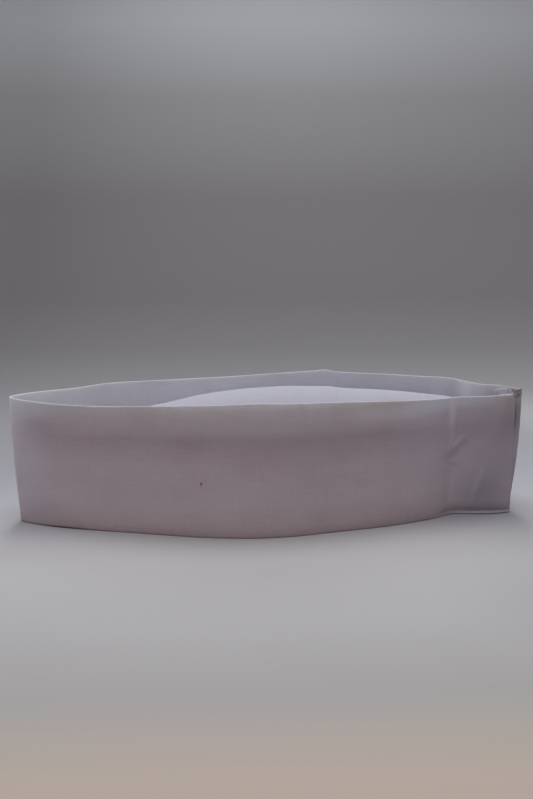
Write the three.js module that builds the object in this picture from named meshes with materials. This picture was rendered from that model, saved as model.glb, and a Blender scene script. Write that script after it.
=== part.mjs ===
// A Gandhi cap that stands open on a flat surface: a long, pointed side cap of white cotton.
// X runs from the folded end to the seamed end, Y from the near wall to the far wall and Z up.
// The outer cuff is one strip of doubled cloth. It starts at the seam, runs along the near wall,
// folds round the pointed end, comes back as the far wall, turns round a corner and is tucked in
// behind its own start. The inner band stands inside it, and the arched crown lies on the band.
import * as THREE from "three";

// Driving dimensions, in millimetres.
const RIM_LENGTH = 278.5;
const NEAR_BULGE = 32;
const FAR_BULGE = 44.5;
const CUFF_HEIGHT = 75.2;
const CUFF_WALL = 1.2;
const CUFF_LIFT = 2.1;
const BAND_HEIGHT = 56;
const BAND_WALL = 1.2;
const CROWN_RISE = 16.6;
const CROWN_WALL = 1.2;
const LAYER_GAP = 0.35;
const DENT_DEPTH = 1;

// How far the top stands out from the rim at the folded end, at the corner, and back at the seam.
const FOLD_FLARE = 2;
const CORNER_FLARE = 5.2;
const CORNER_TURN = 4.8;
const SEAM_LEAN = 1;
// How far the two ends swell outwards at half height.
const FOLD_SWELL = 0.6;
const CORNER_SWELL = 1.6;

// The tuck is the length of cuff behind the near wall, and the tab lies inside the corner.
const TUCK_LENGTH = 8;
const TAB_INSET = 5.4;
const TAB_LENGTH = 6.5;
const TAB_DEPTH = 10;
const TAB_WALL = 1;
const TAB_SLOPE = 2.8;
const TAB_DROP = 3.3;

// The band and crown start this far inside the cuff's folded end. They open out from a point at
// each end over these lengths.
const FOLD_SETBACK = 4;
const FOLD_POINT = 14;
const SEAM_POINT = 7;

// How finely the cloth is faceted.
const SECTION_SPACING = 8;
const BAND_LEVELS = 5;
const TOP_LEVELS = 3;
const CROWN_STRIPS = 12;

// One row for each section across the cap. at is a share of the rim's length, near and far are
// shares of each wall's bulge, and nearTop and farTop are shares of the cuff's height.
const SECTIONS = [
  { at: 0, near: 0, far: 0, nearTop: 0.958, farTop: 0.958 },
  { at: 0.005, near: 0.055, far: 0.06, nearTop: 0.956, farTop: 0.958 },
  { at: 0.018, near: 0.12, far: 0.145, nearTop: 0.95, farTop: 0.956 },
  { at: 0.05, near: 0.25, far: 0.275, nearTop: 0.944, farTop: 0.955 },
  { at: 0.083, near: 0.353, far: 0.375, nearTop: 0.941, farTop: 0.952 },
  { at: 0.12, near: 0.435, far: 0.49, nearTop: 0.936, farTop: 0.951 },
  { at: 0.158, near: 0.515, far: 0.61, nearTop: 0.938, farTop: 0.956 },
  { at: 0.188, near: 0.58, far: 0.662, nearTop: 0.939, farTop: 0.96 },
  { at: 0.235, near: 0.672, far: 0.72, nearTop: 0.951, farTop: 0.961 },
  { at: 0.29, near: 0.777, far: 0.78, nearTop: 0.96, farTop: 0.961 },
  { at: 0.35, near: 0.883, far: 0.827, nearTop: 0.972, farTop: 0.965 },
  { at: 0.41, near: 0.963, far: 0.862, nearTop: 0.983, farTop: 0.969 },
  { at: 0.47, near: 1, far: 0.895, nearTop: 0.993, farTop: 0.977 },
  { at: 0.54, near: 0.948, far: 0.945, nearTop: 0.986, farTop: 0.987 },
  { at: 0.607, near: 0.82, far: 0.995, nearTop: 0.977, farTop: 0.994 },
  { at: 0.632, near: 0.766, far: 0.998, nearTop: 0.972, farTop: 0.999 },
  { at: 0.655, near: 0.722, far: 0.984, nearTop: 0.969, farTop: 0.986 },
  { at: 0.7, near: 0.635, far: 0.957, nearTop: 0.96, farTop: 0.978 },
  { at: 0.76, near: 0.495, far: 0.918, nearTop: 0.947, farTop: 0.971 },
  { at: 0.815, near: 0.318, far: 0.877, nearTop: 0.935, farTop: 0.961 },
  { at: 0.85, near: 0.17, far: 0.845, nearTop: 0.925, farTop: 0.956 },
  { at: 0.872, near: 0.045, far: 0.823, nearTop: 0.92, farTop: 0.955 },
  { at: 0.895, near: 0.03, far: 0.742, nearTop: 0.921, farTop: 0.953 },
  { at: 0.916, near: 0.055, far: 0.578, nearTop: 0.923, farTop: 0.952 },
  { at: 0.931, near: 0.068, far: 0.458, nearTop: 0.925, farTop: 0.951 },
  { at: 0.947, near: 0.07, far: 0.382, nearTop: 0.928, farTop: 0.951 },
  { at: 0.965, near: 0.065, far: 0.34, nearTop: 0.932, farTop: 0.951 },
  { at: 0.985, near: 0.035, far: 0.192, nearTop: 0.932, farTop: 0.951 },
  { at: 1, near: 0, far: 0.076, nearTop: 0.932, farTop: 0.948 },
];
// How much of its full rise the crown's ridge has.
const RIDGE = [
  { at: 0, rise: 0 },
  { at: 0.07, rise: 0.03 },
  { at: 0.16, rise: 0.145 },
  { at: 0.23, rise: 0.33 },
  { at: 0.3, rise: 0.58 },
  { at: 0.36, rise: 0.8 },
  { at: 0.42, rise: 0.94 },
  { at: 0.48, rise: 0.99 },
  { at: 0.54, rise: 1 },
  { at: 0.6, rise: 0.943 },
  { at: 0.66, rise: 0.876 },
  { at: 0.72, rise: 0.839 },
  { at: 0.78, rise: 0.772 },
  { at: 0.84, rise: 0.668 },
  { at: 0.89, rise: 0.54 },
  { at: 0.93, rise: 0.28 },
  { at: 0.965, rise: 0.06 },
  { at: 1, rise: 0 },
];
// The near wall's rim leaves the surface at the first of these shares and is lifted in full from
// the second one to the seam.
const LIFT_START = 0.84;
const LIFT_END = 0.9;
// Dents in the near wall: at and up are shares of the length and height, turn is in degrees, reach
// and width are half sizes as shares of the height, and deep is a share of the dents' depth.
const DENTS = [
  { at: 0.893, up: 0.58, turn: 40, reach: 0.16, width: 0.067, deep: 1 },
  { at: 0.872, up: 0.78, turn: 88, reach: 0.228, width: 0.067, deep: -0.6 },
];

// A smooth function of the share along the cap through one column of a table.
function column(rows, name) {
  const curve = new THREE.CubicInterpolant(
    rows.map((row) => row.at),
    rows.map((row) => row[name]),
    1,
  );
  return (at) => curve.evaluate(at)[0];
}

const nearOut = column(SECTIONS, "near");
const farOut = column(SECTIONS, "far");
const nearTop = column(SECTIONS, "nearTop");
const farTop = column(SECTIONS, "farTop");
const ridgeRise = column(RIDGE, "rise");

// How far the dents push the near wall in, at a share along it and a level.
function dentDepth(at, level) {
  let depth = 0;
  for (const dent of DENTS) {
    const turn = THREE.MathUtils.degToRad(dent.turn);
    const dx = (at - dent.at) * RIM_LENGTH;
    const dz = (level - dent.up) * CUFF_HEIGHT;
    const along = (dx * Math.cos(turn) + dz * Math.sin(turn)) / (dent.reach * CUFF_HEIGHT);
    const across = (dz * Math.cos(turn) - dx * Math.sin(turn)) / (dent.width * CUFF_HEIGHT);
    depth += DENT_DEPTH * dent.deep * Math.exp(-along * along - across * across);
  }
  return depth;
}

// Where a wall's outer face is, seen from above, at a share along the cap and a level, which is
// 0 at the surface and 1 at the cuff's upper edge.
function nearPlan(at, level) {
  const swell = Math.sin(Math.PI * level);
  const fold = (1 - at) ** 6 * (FOLD_FLARE * level + FOLD_SWELL * swell);
  const x = at * RIM_LENGTH - fold - at ** 2 * SEAM_LEAN * level ** 2;
  return new THREE.Vector2(x, dentDepth(at, level) - NEAR_BULGE * nearOut(at));
}
function farPlan(at, level) {
  const swell = Math.sin(Math.PI * level);
  const fold = (1 - at) ** 6 * (FOLD_FLARE * level + FOLD_SWELL * swell);
  const corner = at ** 12 * (CORNER_FLARE * level + CORNER_SWELL * swell);
  const x = at * RIM_LENGTH - fold + corner;
  return new THREE.Vector2(x, FAR_BULGE * farOut(at) + at ** 24 * CORNER_TURN * level);
}

// The two walls, with which side of the path from the folded end to the seam is the inside.
const nearWall = { plan: nearPlan, height: (at) => CUFF_HEIGHT * nearTop(at), inside: 1 };
const farWall = { plan: farPlan, height: (at) => CUFF_HEIGHT * farTop(at), inside: -1 };

// A point of a wall at a depth below its outer face, measured square to the wall.
function wallPoint(wall, at, level, depth) {
  const step = 0.001;
  const before = wall.plan(Math.max(at - step, 0), level);
  const run = wall.plan(Math.min(at + step, 1), level).sub(before).normalize();
  const plan = wall.plan(at, level);
  const x = plan.x - run.y * wall.inside * depth;
  const y = plan.y + run.x * wall.inside * depth;
  return new THREE.Vector3(x, y, level * wall.height(at));
}

// The band and crown span the cap between its folded end and the tuck.
const SPAN_START = FOLD_SETBACK / RIM_LENGTH;
const SPAN_END = 1 - (TUCK_LENGTH + LAYER_GAP) / RIM_LENGTH;

// The places of the sections: the rows' own and the ends of the span, with even steps between
// them that are none longer than the section spacing.
function sectionPlaces() {
  const marks = [...SECTIONS.map((row) => row.at), SPAN_START, SPAN_END].sort((a, b) => a - b);
  const places = [0];
  for (let i = 1; i < marks.length; i++) {
    const span = marks[i] - marks[i - 1];
    const steps = Math.ceil((span * RIM_LENGTH) / SECTION_SPACING);
    for (let k = 1; k <= steps; k++) {
      places.push(THREE.MathUtils.lerp(marks[i - 1], marks[i], k / steps));
    }
  }
  return places;
}
const PLACES = sectionPlaces();

function shares(count) {
  return Array.from({ length: count + 1 }, (_, i) => i / count);
}

// The levels that the band has, and those of the cuff, which go on above the band.
const bandTop = BAND_HEIGHT / CUFF_HEIGHT;
const bandLevels = shares(BAND_LEVELS).map((share) => share * bandTop);
const topLevels = shares(TOP_LEVELS).map((share) => bandTop + share * (1 - bandTop));
const cuffLevels = [...bandLevels, ...topLevels.slice(1)];

// A solid skinned over rings of points. Each ring runs along one face and back along the other,
// and the solid closes on itself, or ends in a flat cap at each end. The two faces' quads are
// split the same way, so that the cloth keeps its thickness where it twists.
function skin(rings, closed) {
  const size = rings[0].length;
  const positions = rings.flat().flatMap((point) => [point.x, point.y, point.z]);
  const faces = [];
  const quad = (a, b, c, d) => faces.push(a, b, c, a, c, d);
  const turnedQuad = (a, b, c, d) => faces.push(a, b, d, b, c, d);
  const last = closed ? rings.length : rings.length - 1;
  for (let i = 0; i < last; i++) {
    const here = i * size;
    const next = ((i + 1) % rings.length) * size;
    for (let j = 0; j < size; j++) {
      const k = (j + 1) % size;
      const split = j < size / 2 ? quad : turnedQuad;
      split(here + j, here + k, next + k, next + j);
    }
  }
  if (!closed) {
    const end = (rings.length - 1) * size;
    for (let j = 0; j < size / 2 - 1; j++) {
      quad(size - 1 - j, size - 2 - j, j + 1, j);
      quad(end + j, end + j + 1, end + size - 2 - j, end + size - 1 - j);
    }
  }
  const geometry = new THREE.BufferGeometry();
  geometry.setAttribute("position", new THREE.Float32BufferAttribute(positions, 3));
  geometry.setIndex(faces);
  geometry.computeVertexNormals();
  return geometry;
}

function rightOf(from, to) {
  const run = to.clone().sub(from).setZ(0).normalize();
  return new THREE.Vector3(run.y, -run.x, 0);
}

// The path moved to its right by a distance, with its corners kept sharp.
function offsetPath(path, distance) {
  return path.map((point, i) => {
    const sides = [];
    if (i > 0) sides.push(rightOf(path[i - 1], point));
    if (i < path.length - 1) sides.push(rightOf(point, path[i + 1]));
    const first = sides[0];
    const second = sides[sides.length - 1];
    const corner = first.clone().add(second);
    return corner.multiplyScalar(distance / (1 + first.dot(second))).add(point);
  });
}

// The same for an outline that closes on itself.
function offsetLoop(loop, distance) {
  return offsetPath([loop[loop.length - 1], ...loop, loop[0]], distance).slice(1, -1);
}

// Turns outer and inner outlines, one of each for a level, into the rings of a wall.
function wallRings(outer, inner) {
  return outer[0].map((_, i) => [
    ...outer.map((path) => path[i]),
    ...inner.map((path) => path[i]).reverse(),
  ]);
}

// The cuff's outer face at one level: near wall, fold, far wall, corner and tuck.
function cuffPath(level) {
  const near = PLACES.map((at) => {
    const point = wallPoint(nearWall, at, level, 0);
    const lift = CUFF_LIFT * THREE.MathUtils.smoothstep(at, LIFT_START, LIFT_END);
    point.z += lift * (1 - level);
    return point;
  });
  const far = PLACES.slice(1).map((at) => wallPoint(farWall, at, level, 0));
  const tuckSteps = 3;
  const tuck = shares(tuckSteps).map((share) => {
    const at = 1 - (share * TUCK_LENGTH) / RIM_LENGTH;
    return wallPoint(nearWall, at, level, CUFF_WALL + LAYER_GAP);
  });
  return [...near.reverse(), ...far, ...tuck];
}

function outerCuff() {
  const outer = cuffLevels.map(cuffPath);
  return skin(wallRings(outer, outer.map((path) => offsetPath(path, CUFF_WALL))), false);
}

// The inside of the cuff at one level, which narrows to a point at each end. Each section of it is
// a point of its near side, a point of its far side and their middle.
function insideSections(level) {
  const depth = CUFF_WALL + LAYER_GAP;
  const nearFace = PLACES.map((at) => wallPoint(nearWall, at, level, 0));
  const farFace = PLACES.map((at) => wallPoint(farWall, at, level, 0));
  const nearSide = offsetPath(nearFace, -depth);
  const farSide = offsetPath(farFace, depth);
  const from = PLACES.indexOf(SPAN_START);
  const to = PLACES.indexOf(SPAN_END);
  return PLACES.slice(from, to + 1).map((at, i) => {
    const middle = nearSide[from + i].clone().lerp(farSide[from + i], 0.5);
    const fromFold = ((at - SPAN_START) * RIM_LENGTH) / FOLD_POINT;
    const fromSeam = ((SPAN_END - at) * RIM_LENGTH) / SEAM_POINT;
    const open = Math.sin((Math.PI / 2) * Math.min(fromFold, fromSeam, 1));
    const near = middle.clone().lerp(nearSide[from + i], open);
    const far = middle.clone().lerp(farSide[from + i], open);
    return { at, middle, near, far };
  });
}

// The band's outer face at one level: along the near side to the fold and back along the far.
function bandPath(level) {
  const along = insideSections(level);
  const between = along.slice(1, -1);
  return [
    along[along.length - 1].middle,
    ...between.map((section) => section.near).reverse(),
    along[0].middle,
    ...between.map((section) => section.far),
  ];
}

function innerBand() {
  const outer = bandLevels.map(bandPath);
  return skin(wallRings(outer, outer.map((path) => offsetLoop(path, BAND_WALL))), true);
}

// The crown's cross-sections are arches that stand on the band's upper edge.
function crown() {
  const between = insideSections(bandTop).slice(1, -1);
  const rings = between.map(({ at, near, far }) => {
    const rise = CROWN_RISE * ridgeRise(at);
    const steepest = (4 * rise) / near.distanceTo(far);
    const foot = LAYER_GAP + CROWN_WALL * Math.hypot(1, steepest);
    const top = [];
    const underside = [];
    for (const share of shares(CROWN_STRIPS)) {
      const across = 2 * share - 1;
      const point = near.clone().lerp(far, share);
      point.z += foot + rise * (1 - across * across);
      top.push(point);
      const below = point.clone();
      below.z -= CROWN_WALL * Math.hypot(1, steepest * across);
      underside.push(below);
    }
    return [...underside, ...top.reverse()];
  });
  return skin(rings, false);
}

// A short tab of cloth that lies against the far wall's inner face, just inside the corner.
function seamAllowance() {
  const end = 1 - TAB_INSET / RIM_LENGTH;
  const start = end - TAB_LENGTH / RIM_LENGTH;
  const depth = CUFF_WALL + LAYER_GAP;
  const tabSteps = 3;
  const rings = shares(tabSteps).map((share) => {
    const at = THREE.MathUtils.lerp(start, end, share);
    const top = 1 - (TAB_DROP - TAB_SLOPE * share) / CUFF_HEIGHT;
    const bottom = top - TAB_DEPTH / CUFF_HEIGHT;
    return [
      wallPoint(farWall, at, bottom, depth),
      wallPoint(farWall, at, top, depth),
      wallPoint(farWall, at, top, depth + TAB_WALL),
      wallPoint(farWall, at, bottom, depth + TAB_WALL),
    ];
  });
  return skin(rings, false);
}

const cottonOutside = new THREE.MeshStandardMaterial({ color: 0xe4e1e6, roughness: 0.92 });
const cottonInside = new THREE.MeshStandardMaterial({ color: 0xe6e5ec, roughness: 0.92 });
const crownCotton = new THREE.MeshStandardMaterial({ color: 0xeaebf2, roughness: 0.9 });

function named(name, geometry, material) {
  const mesh = new THREE.Mesh(geometry, material);
  mesh.name = name;
  return mesh;
}

const cap = new THREE.Group();
cap.add(
  named("outer_cuff", outerCuff(), cottonOutside),
  named("inner_band", innerBand(), cottonInside),
  named("crown", crown(), crownCotton),
  named("seam_allowance", seamAllowance(), cottonInside),
);

// The origin is the middle of the cap's box, on the surface that it stands on.
const box = new THREE.Box3().setFromObject(cap);
const middle = box.getCenter(new THREE.Vector3());
cap.position.set(-middle.x, -middle.y, -box.min.z);

export default cap;
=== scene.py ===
"""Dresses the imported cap: white cotton walls, an arched crown, stitches and a small studio.

Lengths are in millimetres until a mesh is made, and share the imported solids' frame. A place on a
wall is a share of the rim's length and a level, 0 at the surface and 1 at the cuff's top edge.
"""

import logging
import math
from dataclasses import dataclass, field
from enum import Enum

import bpy
import numpy as np
from mathutils import Euler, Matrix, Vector, noise

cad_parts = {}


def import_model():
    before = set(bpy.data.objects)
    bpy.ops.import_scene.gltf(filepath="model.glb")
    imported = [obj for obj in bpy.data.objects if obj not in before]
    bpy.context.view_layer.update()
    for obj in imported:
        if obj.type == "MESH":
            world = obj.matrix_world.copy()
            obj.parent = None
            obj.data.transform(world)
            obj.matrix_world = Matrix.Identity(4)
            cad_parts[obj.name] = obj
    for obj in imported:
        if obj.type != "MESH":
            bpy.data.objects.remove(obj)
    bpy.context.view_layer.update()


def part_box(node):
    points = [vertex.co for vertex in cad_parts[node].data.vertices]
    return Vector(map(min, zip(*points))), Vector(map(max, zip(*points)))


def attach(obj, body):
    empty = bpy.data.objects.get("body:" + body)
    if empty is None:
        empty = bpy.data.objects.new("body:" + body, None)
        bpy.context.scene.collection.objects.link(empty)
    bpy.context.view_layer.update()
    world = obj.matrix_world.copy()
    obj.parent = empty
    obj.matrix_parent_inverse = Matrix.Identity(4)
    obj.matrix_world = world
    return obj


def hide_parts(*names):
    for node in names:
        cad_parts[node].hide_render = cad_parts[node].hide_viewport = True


MM = 0.001
BODY = "root"
LOG = logging.getLogger("gandhi_cap")
# The kinds of value that finishes are made of.
Color = tuple[float, float, float]
Socket = bpy.types.NodeSocket
# How far up the cloth the near wall's table of painted light and shade reaches, in millimetres.
PAINTED_LIGHT_REACH = 80.0
# Where a mark on the cloth ends, in half sizes from its middle.
MARK_END = 1.6
# The step in which a grid's rows are measured before their columns are placed, how many columns
# stand in a millimetre at a corner, and how far from it they stand closer, in millimetres.
FINE_STEP = 0.2
CORNER_CROWDING = 2.5
CROWD_REACH = 3
# How far a sheet's edges are rounded, as a share of its wall, and from what angle, in degrees.
EDGE_SHARE = 0.3
EDGE_ANGLE = 60
# How close points of a closed loop are merged, in metres. Threads take half of it.
MERGE_DISTANCE = 0.00002


class Wall(Enum):
    """The two long walls of the cap, with the side that is inwards as seen from above."""

    NEAR = 1
    FAR = -1


# One row for each section: share along, near and far bulge, near and far top.
SECTIONS = (
    (0.0, 0.0, 0.0, 0.958, 0.958),
    (0.005, 0.055, 0.06, 0.956, 0.958),
    (0.018, 0.12, 0.145, 0.95, 0.956),
    (0.05, 0.25, 0.275, 0.944, 0.955),
    (0.083, 0.353, 0.375, 0.941, 0.952),
    (0.12, 0.435, 0.49, 0.936, 0.951),
    (0.158, 0.515, 0.61, 0.938, 0.956),
    (0.188, 0.58, 0.662, 0.939, 0.96),
    (0.235, 0.672, 0.72, 0.951, 0.961),
    (0.29, 0.777, 0.78, 0.96, 0.961),
    (0.35, 0.883, 0.827, 0.972, 0.965),
    (0.41, 0.963, 0.862, 0.983, 0.969),
    (0.47, 1.0, 0.895, 0.993, 0.977),
    (0.54, 0.948, 0.945, 0.986, 0.987),
    (0.607, 0.82, 0.995, 0.977, 0.994),
    (0.632, 0.766, 0.998, 0.972, 0.999),
    (0.655, 0.722, 0.984, 0.969, 0.986),
    (0.7, 0.635, 0.957, 0.96, 0.978),
    (0.76, 0.495, 0.918, 0.947, 0.971),
    (0.815, 0.318, 0.877, 0.935, 0.961),
    (0.85, 0.17, 0.845, 0.925, 0.956),
    (0.872, 0.045, 0.823, 0.92, 0.955),
    (0.895, 0.03, 0.742, 0.921, 0.953),
    (0.916, 0.055, 0.578, 0.923, 0.952),
    (0.931, 0.068, 0.458, 0.925, 0.951),
    (0.947, 0.07, 0.382, 0.928, 0.951),
    (0.965, 0.065, 0.34, 0.932, 0.951),
    (0.985, 0.035, 0.192, 0.932, 0.951),
    (1.0, 0.0, 0.076, 0.932, 0.948),
)
# Share along and share of the crown's full rise.
RIDGE = (
    (0.0, 0.0),
    (0.07, 0.03),
    (0.16, 0.145),
    (0.23, 0.33),
    (0.3, 0.58),
    (0.36, 0.8),
    (0.42, 0.94),
    (0.48, 0.99),
    (0.54, 1.0),
    (0.6, 0.943),
    (0.66, 0.876),
    (0.72, 0.839),
    (0.78, 0.772),
    (0.84, 0.668),
    (0.89, 0.54),
    (0.93, 0.28),
    (0.965, 0.06),
    (1.0, 0.0),
)


@dataclass(frozen=True)
class Fold:
    """A dent, or a ridge where it is less than nothing deep, in one of the walls."""

    wall: Wall
    at: float
    up: float
    turn: float
    reach: float
    width: float
    deep: float


FOLDS = (
    Fold(Wall.NEAR, 0.893, 0.58, 40, 12.0, 5.0, 1.0),
    Fold(Wall.NEAR, 0.872, 0.78, 88, 17.0, 5.0, -0.6),
    Fold(Wall.NEAR, 0.883, 0.548, 43, 8.0, 1.8, 1.15),
    Fold(Wall.NEAR, 0.879, 0.595, 41, 5.0, 1.8, -0.85),
    Fold(Wall.NEAR, 0.879, 0.412, -22, 4.0, 1.1, 0.7),
    Fold(Wall.NEAR, 0.871, 0.8, 89, 15.0, 2.4, -0.7),
    Fold(Wall.NEAR, 0.855, 0.81, 4, 5.5, 0.7, 0.22),
    Fold(Wall.NEAR, 0.946, 0.2, 70, 14.0, 5.5, 1.2),
    Fold(Wall.NEAR, 0.89, 0.22, 84, 15.0, 3.0, 0.6),
    Fold(Wall.NEAR, 0.95, 0.034, 0, 26.0, 1.0, 0.7),
    Fold(Wall.NEAR, 0.178, 0.9, 88, 4.5, 2.2, 0.6),
    Fold(Wall.NEAR, 0.163, 0.9, 90, 4.0, 2.0, -0.45),
    Fold(Wall.NEAR, 0.148, 0.66, 88, 4.0, 0.7, 0.3),
    Fold(Wall.FAR, 0.17, 0.9, 90, 16.0, 3.0, -0.35),
    Fold(Wall.FAR, 0.622, 0.9, 90, 18.0, 2.4, -0.5),
    Fold(Wall.FAR, 0.644, 0.9, 88, 18.0, 3.0, 0.35),
    Fold(Wall.FAR, 0.912, 0.9, 90, 20.0, 2.6, 0.4),
    Fold(Wall.FAR, 0.896, 0.9, 90, 18.0, 2.2, -0.4),
    Fold(Wall.FAR, 0.45, 0.35, 70, 22.0, 5.0, 0.5),
    Fold(Wall.FAR, 0.3, 0.3, 110, 18.0, 4.0, 0.4),
    Fold(Wall.FAR, 0.78, 0.4, 75, 20.0, 4.5, 0.5),
)


class Curve:
    """A smooth curve through a table's values, by their shares along the cap."""

    def __init__(self, shares: list[float], values: list[float]) -> None:
        """Keeps the points and works out the slope at each.

        Args:
            shares: Places of the values, rising.
            values: The values.
        """
        self.t = np.array(shares)
        self.v = np.array(values)
        secant = np.diff(self.v) / np.diff(self.t)
        self.m = np.concatenate([secant[:1], (secant[:-1] + secant[1:]) / 2, secant[-1:]])

    def __call__(self, at: np.ndarray) -> np.ndarray:
        """Reads the curve.

        Args:
            at: Shares along the cap.

        Returns:
            The value at each share.
        """
        i = np.clip(np.searchsorted(self.t, at, side="right") - 1, 0, len(self.t) - 2)
        h = self.t[i + 1] - self.t[i]
        p = (at - self.t[i]) / h
        return (
            self.v[i] * (2 * p**3 - 3 * p**2 + 1)
            + self.v[i + 1] * (3 * p**2 - 2 * p**3)
            + h * self.m[i] * (p**3 - 2 * p**2 + p)
            + h * self.m[i + 1] * (p**3 - p**2)
        )


def smoothstep(x: np.ndarray, low: float, high: float) -> np.ndarray:
    """Rises smoothly from 0 at low to 1 at high."""
    t = np.clip((x - low) / (high - low), 0.0, 1.0)
    return t * t * (3 - 2 * t)


def run_along(line: np.ndarray) -> np.ndarray:
    """How far along a line each of its points is."""
    return np.concatenate([[0], np.cumsum(np.linalg.norm(np.diff(line, axis=0), axis=1))])


def cloud(points: np.ndarray, size: float, seed: float) -> np.ndarray:
    """Smooth noise in space, from about -1 to 1.

    Args:
        points: Places, with x, y and z last.
        size: The length of one swell.
        seed: Picks one of many patterns.

    Returns:
        The noise at each place.
    """
    flat = points.reshape(-1, 3) / size + seed
    return np.array([noise.noise(p) for p in flat]).reshape(points.shape[:-1])


@dataclass(frozen=True)
class CapForm:
    """The cap's shape: its sizes, and where each wall's outer face lies."""

    rim_length: float = 278.5
    near_bulge: float = 32.0
    far_bulge: float = 44.5
    cuff_height: float = 75.2
    cuff_wall: float = 1.2
    cuff_lift: float = 2.1
    band_height: float = 56.0
    band_wall: float = 1.2
    crown_rise: float = 16.6
    crown_wall: float = 1.2
    layer_gap: float = 0.35
    fold_flare: float = 2.0
    corner_flare: float = 5.2
    corner_turn: float = 4.8
    seam_lean: float = 1.0
    fold_swell: float = 0.6
    corner_swell: float = 1.6
    tuck_length: float = 8.0
    fold_setback: float = 4.0
    fold_point: float = 14.0
    seam_point: float = 7.0
    lift_start: float = 0.84
    lift_end: float = 0.9
    # How deep the wall's swells and the hem's ripples are, how long, and their patterns.
    swells: tuple[tuple[float, float, float], ...] = ((0.4, 34, 3.7), (0.16, 13, 8.1))
    ripple: tuple[float, float, float] = (0.13, 5, 5.3)
    hem_reach: float = 4
    foot_hem_share: float = 0.8
    # How fast three things fade along the cap: the folded end's lean, the corner's lean and the
    # corner's turn.
    fold_power: int = 6
    corner_power: int = 12
    turn_power: int = 24
    curves: dict[str, Curve] = field(default_factory=dict)
    origin: list[float] = field(default_factory=list)

    def __post_init__(self) -> None:
        """Makes the curves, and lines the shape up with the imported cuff."""
        columns = list(zip(*SECTIONS))
        for i, name in enumerate(("near", "far", "near_top", "far_top"), start=1):
            self.curves[name] = Curve(columns[0], columns[i])
        self.curves["ridge"] = Curve(*zip(*RIDGE))
        low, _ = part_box("outer_cuff")
        level = np.linspace(0, 1, 101)
        at = np.linspace(0.4, 0.55, 301)
        x = self.plan(Wall.NEAR, np.zeros(101), level)[..., 0].min()
        y = self.plan(Wall.NEAR, at, np.zeros(301))[..., 1].min()
        self.origin.extend([low.x / MM - x, low.y / MM - y])

    def dents(self, wall: Wall, at: np.ndarray, level: np.ndarray) -> np.ndarray:
        """How far the folds push a wall in at places on it.

        Args:
            wall: Which wall.
            at: Shares along the cap.
            level: Levels up the cuff.

        Returns:
            The depth at each place, in millimetres.
        """
        depth = np.zeros(np.broadcast(at, level).shape)
        for fold in (f for f in FOLDS if f.wall is wall):
            turn = math.radians(fold.turn)
            dx = (at - fold.at) * self.rim_length
            dz = (level - fold.up) * self.cuff_height
            along = (dx * math.cos(turn) + dz * math.sin(turn)) / fold.reach
            across = (dz * math.cos(turn) - dx * math.sin(turn)) / fold.width
            depth = depth + fold.deep * np.exp(-(along**2) - across**2)
        return depth

    def plan(self, wall: Wall, at: np.ndarray, level: np.ndarray) -> np.ndarray:
        """Where a wall's outer face lies as seen from above, before its small folds.

        Args:
            wall: Which wall.
            at: Shares along the cap.
            level: Levels up the cuff.

        Returns:
            x and y, last in the array, measured from the near corner of the folded end.
        """
        swell = np.sin(math.pi * level)
        x = at * self.rim_length - (1 - at) ** self.fold_power * (
            self.fold_flare * level + self.fold_swell * swell
        )
        if wall is Wall.NEAR:
            x = x - at**2 * self.seam_lean * level**2
            y = -self.near_bulge * self.curves["near"](at) + 0 * level
        else:
            flare = self.corner_flare * level + self.corner_swell * swell
            x = x + at**self.corner_power * flare
            turn = at**self.turn_power * self.corner_turn * level
            y = self.far_bulge * self.curves["far"](at) + turn
        return np.stack(np.broadcast_arrays(x, y), axis=-1)

    def height(self, wall: Wall, at: np.ndarray) -> np.ndarray:
        """The height of a wall's top edge."""
        return self.cuff_height * self.curves["near_top" if wall is Wall.NEAR else "far_top"](at)

    def face(self, wall: Wall, at: np.ndarray, level: np.ndarray, depth: float) -> np.ndarray:
        """Points below a wall's outer face, with the small folds and the cloth's own unevenness.

        Args:
            wall: Which wall.
            at: Shares along the cap.
            level: Levels up the cuff.
            depth: How far in from the outer face, square to the wall.

        Returns:
            x, y and z, last in the array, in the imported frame.
        """
        at, level = np.broadcast_arrays(at, level)
        step = 0.001
        run = self.plan(wall, np.minimum(at + step, 1), level)
        run = run - self.plan(wall, np.maximum(at - step, 0), level)
        run = run / np.linalg.norm(run, axis=-1, keepdims=True)
        inward = np.stack([-run[..., 1], run[..., 0]], axis=-1) * wall.value
        plan = self.plan(wall, at, level)
        place = np.concatenate([plan, (level * self.height(wall, at))[..., None]], axis=-1)
        uneven = sum(deep * cloud(place, size, seed) for deep, size, seed in self.swells)
        hem = np.exp(-(((level - 1) * self.cuff_height / self.hem_reach) ** 2))
        foot = np.exp(-((level * self.cuff_height / self.hem_reach) ** 2))
        hem = hem + self.foot_hem_share * foot
        deep, size, seed = self.ripple
        uneven = uneven + deep * hem * cloud(place * np.array([1, 1, 0.3]), size, seed)
        move = self.dents(wall, at, level) + uneven * smoothstep(at, 0.0, 0.03) + depth
        place[..., :2] += inward * move[..., None]
        place[..., :2] += self.origin
        return place

    def inside(self, at: np.ndarray, level: np.ndarray) -> tuple[np.ndarray, np.ndarray]:
        """The two sides of the space inside the cuff, which come to a point at each end.

        Args:
            at: Shares along the cap.
            level: Levels up the cuff.

        Returns:
            Points on the near side and points on the far side.
        """
        depth = self.cuff_wall + self.layer_gap
        near = self.face(Wall.NEAR, at, level, depth)
        far = self.face(Wall.FAR, at, level, depth)
        middle = (near + far) / 2
        from_fold = (at - self.span[0]) * self.rim_length / self.fold_point
        from_seam = (self.span[1] - at) * self.rim_length / self.seam_point
        inward = np.clip(np.minimum(from_fold, from_seam), 0, 1)
        opened = np.sin(math.pi / 2 * inward)[..., None]
        return middle + (near - middle) * opened, middle + (far - middle) * opened

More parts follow.
